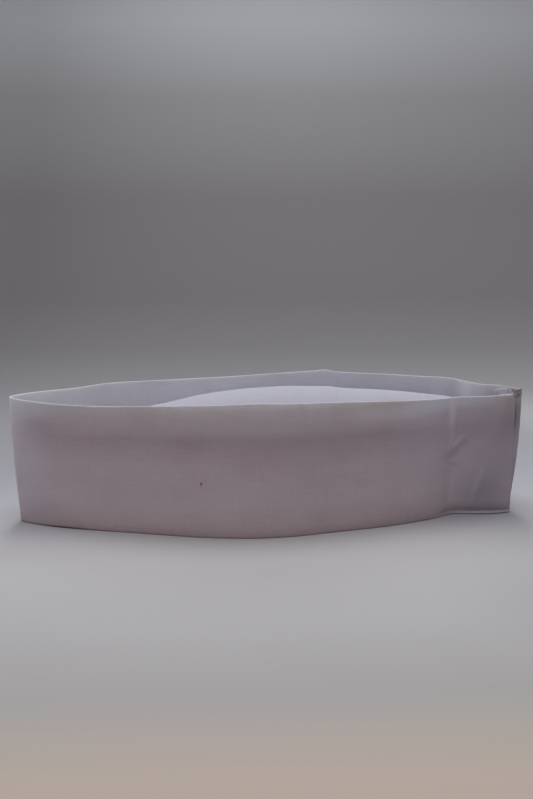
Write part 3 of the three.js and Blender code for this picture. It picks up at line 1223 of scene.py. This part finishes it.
@dataclass
class SeamAllowance:
    """The turned-in tab of cloth that lies against the far wall at the seam end."""

    form: CapForm
    inset: float = 5.4
    length: float = 6.5
    depth: float = 10.0
    slope: float = 2.8
    drop: float = 3.3
    wall: float = 1.0
    curl: float = 0.2
    curl_power: float = 5

    def build(self) -> bpy.types.Object:
        """Makes the tab's mesh.

        Returns:
            The tab.
        """
        form = self.form
        end = 1 - self.inset / form.rim_length
        at = np.linspace(end - self.length / form.rim_length, end, 12)[None, :]
        share = np.linspace(0, 1, 12)[None, :]
        top = 1 - (self.drop - self.slope * share) / form.cuff_height
        up = np.linspace(-1, 0, 16)[:, None]
        level = top + up * self.depth / form.cuff_height
        points = form.face(Wall.FAR, at, level, form.cuff_wall + form.layer_gap)
        points[..., 1] -= self.curl * np.exp(up * self.curl_power) * (1 - share)
        run = np.broadcast_to(share * self.length, points.shape[:2])
        uv = np.stack([run, points[..., 2]], axis=-1)
        return lay_cloth("tab_cloth", points, uv, self.wall)

    def finish(self) -> Cotton:
        """Describes the tab's cloth, whiter and bluer than the cuff's as painted light on its
        shade.

        Returns:
            The finish.
        """
        return Cotton(
            name="tab_cotton",
            # Whiter and bluer than the cuff's cotton: painted light against the shade on the tab.
            color=(0.96, 0.96, 1.0),
            worn_color=(0.92, 0.91, 0.95),
            top_edge=75.0,
            glow=0.36,
        )


@dataclass
class CrownStitches:
    """The row of stitches that runs round the crown, just inside its edge."""

    crown: Crown
    length: float = 2.1
    pitch: float = 3.1
    radius: float = 0.17
    bevel: float = 0.06
    lift: float = 0.1
    # How far from the crown's two ends the stitches keep, as shares along the cap.
    ends: tuple[float, float] = (0.03, 0.022)

    def places(self) -> list[tuple[Vector, Vector]]:
        """Works out where each stitch starts and ends.

        Returns:
            Two points for each stitch, in millimetres.
        """
        form = self.crown.form
        at = np.linspace(form.span[0] + self.ends[0], form.span[1] - self.ends[1], 900)
        near, far = form.inside(at, np.full(at.shape, form.band_top))
        width = np.linalg.norm(far - near, axis=-1)
        inset = self.crown.stitch_inset / width
        pairs = []
        for share in (inset, 1 - inset):
            line = self.crown.surface(at, share)
            run = run_along(line)
            starts = np.arange(0, run[-1] - self.length, self.pitch)
            for low, high in ((s, s + self.length) for s in starts):
                ends = [[np.interp(d, run, line[:, k]) for k in range(3)] for d in (low, high)]
                pairs.append((Vector(ends[0]), Vector(ends[1])))
        return pairs

    def build(self) -> bpy.types.Object:
        """Makes one stitch, copies it to every place and joins the copies.

        Returns:
            All the stitches in one piece.
        """
        bpy.ops.object.select_all(action="DESELECT")
        bpy.ops.mesh.primitive_cylinder_add(
            vertices=6, radius=self.radius * MM, depth=self.length * MM
        )
        stitch = bpy.context.object
        apply_modifier(stitch, "BEVEL", width=self.bevel * MM, segments=1, limit_method="ANGLE")
        copies = []
        for start, end in self.places():
            copy = stitch.copy()
            copy.data = stitch.data.copy()
            bpy.context.collection.objects.link(copy)
            copy.location = ((start + end) / 2 + Vector((0, 0, self.lift))) * MM
            copy.rotation_mode = "QUATERNION"
            copy.rotation_quaternion = (end - start).to_track_quat("Z", "Y")
            copies.append(copy)
        bpy.data.objects.remove(stitch)
        return join(copies, "crown_stitches")


def join(parts: list[bpy.types.Object], name: str) -> bpy.types.Object:
    """Joins pieces into one, with its place in its mesh.

    Args:
        parts: The pieces.
        name: The new piece's name.

    Returns:
        The new piece.
    """
    bpy.ops.object.select_all(action="DESELECT")
    for part in parts:
        part.select_set(True)
    bpy.context.view_layer.objects.active = parts[0]
    bpy.ops.object.join()
    piece = bpy.context.object
    piece.name = piece.data.name = name
    bpy.ops.object.transform_apply(location=True, rotation=True, scale=True)
    bpy.ops.object.shade_smooth()
    return piece


@dataclass
class SeamTack:
    """The threads that hold the cuff's loose end at the top of the seam."""

    form: CapForm
    radius: float = 0.26
    # How far outside the near and the far wall's faces place() measures from.
    near_rise: float = 0.25
    far_rise: float = 0.1
    # How far each thread's middle bends towards the front and up.
    bend: tuple[float, float, float] = (0.0, -0.3, 0.25)
    # Where each thread starts and ends, as place() reads it. All but the last meet on the rim.
    rows: tuple[tuple[tuple[float, float, float], tuple[float, float, float]], ...] = (
        ((5.4, 0.92, 1.017), (0.87, 0.46, 1.008)),
        ((0.87, 0.46, 1.008), (-2.05, -0.045, 1.0)),
        ((0.84, 1.226, 1.005), (0.87, 0.46, 1.008)),
        ((0.87, 0.46, 1.008), (3.66, 0.69, 0.97)),
        ((-1.2, -0.017, 0.987), (1.85, 0.472, 0.967)),
    )

    def place(self, past: float, share: float, level: float) -> np.ndarray:
        """Finds a point by the seam.

        Args:
            past: How far past the near wall's end it is, in millimetres.
            share: How far it is from the near wall's line to the far wall's.
            level: Its level up the cuff.

        Returns:
            x, y and z, in millimetres.
        """
        form = self.form
        start = form.face(Wall.NEAR, np.array(1.0), np.array(level), -self.near_rise)
        corner = form.face(Wall.FAR, np.array(1.0), np.array(level), -self.far_rise)
        return np.array([start[0] + past, start[1] + (corner[1] - start[1]) * share, start[2]])

    def build(self) -> bpy.types.Object:
        """Makes each thread as a fine tube along an arc, and joins them.

        Returns:
            All the threads in one piece.
        """
        threads = []
        for first, last in self.rows:
            a, b = self.place(*first), self.place(*last)
            bpy.ops.object.select_all(action="DESELECT")
            bpy.ops.curve.primitive_nurbs_path_add()
            path = bpy.context.object
            spline = path.data.splines[0]
            for i, point in enumerate(spline.points):
                t = i / (len(spline.points) - 1)
                bulge = math.sin(math.pi * t)
                place = a + (b - a) * t + np.array(self.bend) * bulge
                point.co = (*(place * MM), 1.0)
            spline.use_endpoint_u = True
            path.data.bevel_depth = self.radius * MM
            path.data.bevel_resolution = 1
            path.data.use_fill_caps = True
            bpy.ops.object.convert(target="MESH")
            bpy.ops.object.mode_set(mode="EDIT")
            bpy.ops.mesh.select_all(action="SELECT")
            bpy.ops.mesh.remove_doubles(threshold=MERGE_DISTANCE / 2)
            bpy.ops.mesh.normals_make_consistent(inside=False)
            bpy.ops.object.mode_set(mode="OBJECT")
            threads.append(bpy.context.object)
        return join(threads, "seam_tack")


@dataclass(frozen=True)
class Lamp:
    """A soft square light: its place, what it faces, its side, power and colour."""

    name: str
    place: tuple[float, float, float]
    target: tuple[float, float, float]
    side: float
    power: float
    color: Color

    def build(self) -> None:
        """Adds the light."""
        light = bpy.data.lights.new(self.name, "AREA")
        light.shape = "SQUARE"
        light.size = self.side
        light.energy = self.power
        light.color = self.color
        obj = bpy.data.objects.new(self.name, light)
        bpy.context.collection.objects.link(obj)
        obj.location = self.place
        aim = Vector(self.target) - Vector(self.place)
        obj.rotation_euler = aim.to_track_quat("-Z", "Y").to_euler()


@dataclass
class Studio:
    """The pale floor with painted light and shade in its colour, the lights and the camera."""

    # The floor's colour by how far back and up it is, in metres, is painted light and shade: a
    # warm front edge, brightest round the cap, darkest where the sweep starts and lighter up it.
    # The painted shade from left to right fades in towards the back.
    floor_painted_light: tuple[tuple[float, Color], ...] = (
        (-0.24, (0.66, 0.555, 0.47)),
        (-0.19, (0.507, 0.493, 0.476)),
        (-0.11, (0.578, 0.568, 0.566)),
        (-0.066, (0.65, 0.645, 0.645)),
        (0.056, (0.53, 0.53, 0.565)),
        (0.195, (0.46, 0.452, 0.465)),
        (0.42, (0.284, 0.271, 0.272)),
        (0.56, (0.238, 0.225, 0.227)),
        (0.8, (0.264, 0.249, 0.25)),
        (1.01, (0.39, 0.384, 0.386)),
        (1.14, (0.583, 0.591, 0.598)),
    )
    side_painted_shade: tuple[tuple[float, float], ...] = (
        (-0.31, 0.79),
        (-0.25, 0.73),
        (-0.15, 0.77),
        (0.03, 0.82),
        (0.2, 0.88),
        (0.37, 0.98),
    )
    # From where to where, back along the floor, the painted shade from left to right fades in.
    side_fade: tuple[float, float] = (-0.08, 0.12)
    # Painted shadows on the floor by the cap's right end, and a painted pool of light further
    # back to the right: the middle, the half sizes and the tone.
    patches: tuple[tuple[tuple[float, float], tuple[float, float], float], ...] = (
        ((0.12, -0.01), (0.07, 0.045), 0.8),
        ((0.14, -0.09), (0.08, 0.09), 0.9),
        ((0.225, 0.205), (0.06, 0.09), 1.22),
    )
    # How far the floor's painted light and shade reaches to the front and the left, and from
    # front to back, in metres.
    reach_front: float = 0.5
    reach_left: float = 0.5
    reach: float = 2.0
    sweep_start: float = 0.3
    sweep_radius: float = 0.5
    camera_place: tuple[float, float, float] = (-0.02475, -0.5121, 0.2016)
    pitch: float = 14.69
    yaw: float = 2.53
    lens: float = 42.8
    lamps: tuple[Lamp, ...] = (
        Lamp("top_light", (0.03, 0.03, 0.85), (0.0, 0.0, 0.0), 0.55, 4.1, (0.98, 0.96, 0.97)),
        Lamp("back_light", (0.0, 0.55, 0.7), (0.0, 0.05, 0.05), 0.35, 1.7, (0.9, 0.95, 1.0)),
        Lamp("left_light", (-0.75, 0.2, 0.35), (0.0, 0.0, 0.03), 0.45, 0.8, (0.88, 0.94, 1.0)),
        Lamp("right_light", (0.8, 0.3, 0.3), (0.0, 0.0, 0.03), 0.45, 0.5, (0.85, 0.92, 1.0)),
        Lamp("front_light", (-0.35, -1.0, 0.13), (0.0, 0.0, 0.04), 0.3, 1.25, (1.0, 0.83, 0.88)),
    )

    def build_floor(self) -> bpy.types.Object:
        """Makes the floor, sweeping up into a wall behind the cap, with painted light and shade.

        Returns:
            The floor.
        """
        bpy.ops.object.select_all(action="DESELECT")
        bpy.ops.mesh.primitive_grid_add(x_subdivisions=4, y_subdivisions=200, size=6)
        floor = bpy.context.object
        floor.name = floor.data.name = "studio_floor"
        for vertex in floor.data.vertices:
            past = max(0.0, vertex.co.y - self.sweep_start)
            turn = min(past / self.sweep_radius, math.pi / 2)
            left = past - turn * self.sweep_radius
            vertex.co.y -= past - self.sweep_radius * math.sin(turn)
            vertex.co.z = self.sweep_radius * (1 - math.cos(turn)) + left
        bpy.ops.object.shade_smooth()
        material = bpy.data.materials.new("studio_floor")
        material.use_nodes = True
        solid = material.node_tree.nodes["Principled BSDF"]
        build = NodeBuilder(material.node_tree)
        place = build.add("ShaderNodeTexCoord").outputs["Object"]
        split = build.add("ShaderNodeSeparateXYZ", {0: place})
        back = build.math("ADD", split.outputs[1], split.outputs[2])
        share = build.math("DIVIDE", build.math("ADD", back, self.reach_front), self.reach)
        ramp = build.add("ShaderNodeValToRGB", {0: share})
        stops = [((at + self.reach_front) / self.reach, tone) for at, tone in self.floor_painted_light]
        fill_ramp(ramp, stops)
        across = build.add(
            "ShaderNodeValToRGB", {0: build.math("ADD", split.outputs[0], self.reach_left)}
        )
        fill_ramp(across, [(at + self.reach_left, (tone,) * 3) for at, tone in self.side_painted_shade])
        side = build.mix(build.ramp(back, *self.side_fade), (1.0,) * 3, across.outputs[0])
        toned = build.vector("MULTIPLY", {0: ramp.outputs[0], 1: side})
        for middle, half, tone in self.patches:
            patch = build.ramp(build.away(place, middle, half), 0.1, 1.0, (tone, 1.0))
            toned = build.vector("MULTIPLY", {0: toned, 1: patch})
        material.node_tree.links.new(toned, solid.inputs["Base Color"])
        solid.inputs["Roughness"].default_value = 0.85
        solid.inputs["Specular IOR Level"].default_value = 0.2
        floor.data.materials.append(material)
        return floor

    def build_camera(self) -> None:
        """Places the camera at the photograph's viewing angle."""
        camera = bpy.data.cameras.new("camera")
        camera.lens = self.lens
        camera.clip_start = 0.01
        obj = bpy.data.objects.new("camera", camera)
        bpy.context.collection.objects.link(obj)
        obj.location = self.camera_place
        obj.rotation_euler = Euler(
            (math.radians(90 - self.pitch), 0.0, -math.radians(self.yaw)), "XYZ"
        )
        bpy.context.scene.camera = obj

    def build(self) -> None:
        """Makes the whole studio."""
        self.build_floor()
        self.build_camera()
        for lamp in self.lamps:
            lamp.build()
        world = bpy.data.worlds.new("studio_air")
        world.use_nodes = True
        air = world.node_tree.nodes["Background"]
        air.inputs["Color"].default_value = (0.8, 0.85, 1.0, 1.0)
        air.inputs["Strength"].default_value = 0.12
        bpy.context.scene.world = world
        bpy.context.scene.view_settings.view_transform = "Standard"


def main() -> None:
    """Builds the cap piece by piece, then the studio."""
    logging.basicConfig(level=logging.INFO, format="%(name)s %(message)s")
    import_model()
    form = CapForm()
    weave, wear = weave_group(), wear_group()
    cuff = OuterCuff(form)
    band = InnerBand(form)
    crown = Crown(form)
    tab = SeamAllowance(form)
    band_cotton = band.finish().make(weave, wear)
    white_thread = Thread("white_thread", (0.8, 0.79, 0.8)).make()
    brown_thread = Thread("brown_thread", (0.2, 0.14, 0.12)).make()
    pieces = (
        (cuff.build(), cuff.finish().make(weave, wear), "cuff_cotton", "outer_cuff"),
        (band.build(), band_cotton, "band_cotton", "inner_band"),
        (crown.build(), crown.finish().make(weave, wear), "crown_cotton", "crown"),
        (tab.build(), tab.finish().make(weave, wear), "band_cotton", "seam_allowance"),
        (CrownStitches(crown).build(), white_thread, "crown_cotton", None),
        (SeamTack(form).build(), brown_thread, "cuff_cotton", None),
    )
    for piece, material, slot, node in pieces:
        piece.data.materials.clear()
        piece.data.materials.append(material)
        hand_over(piece, slot, *([node] if node else []))
    Studio().build()


if __name__ == "__main__":
    main()
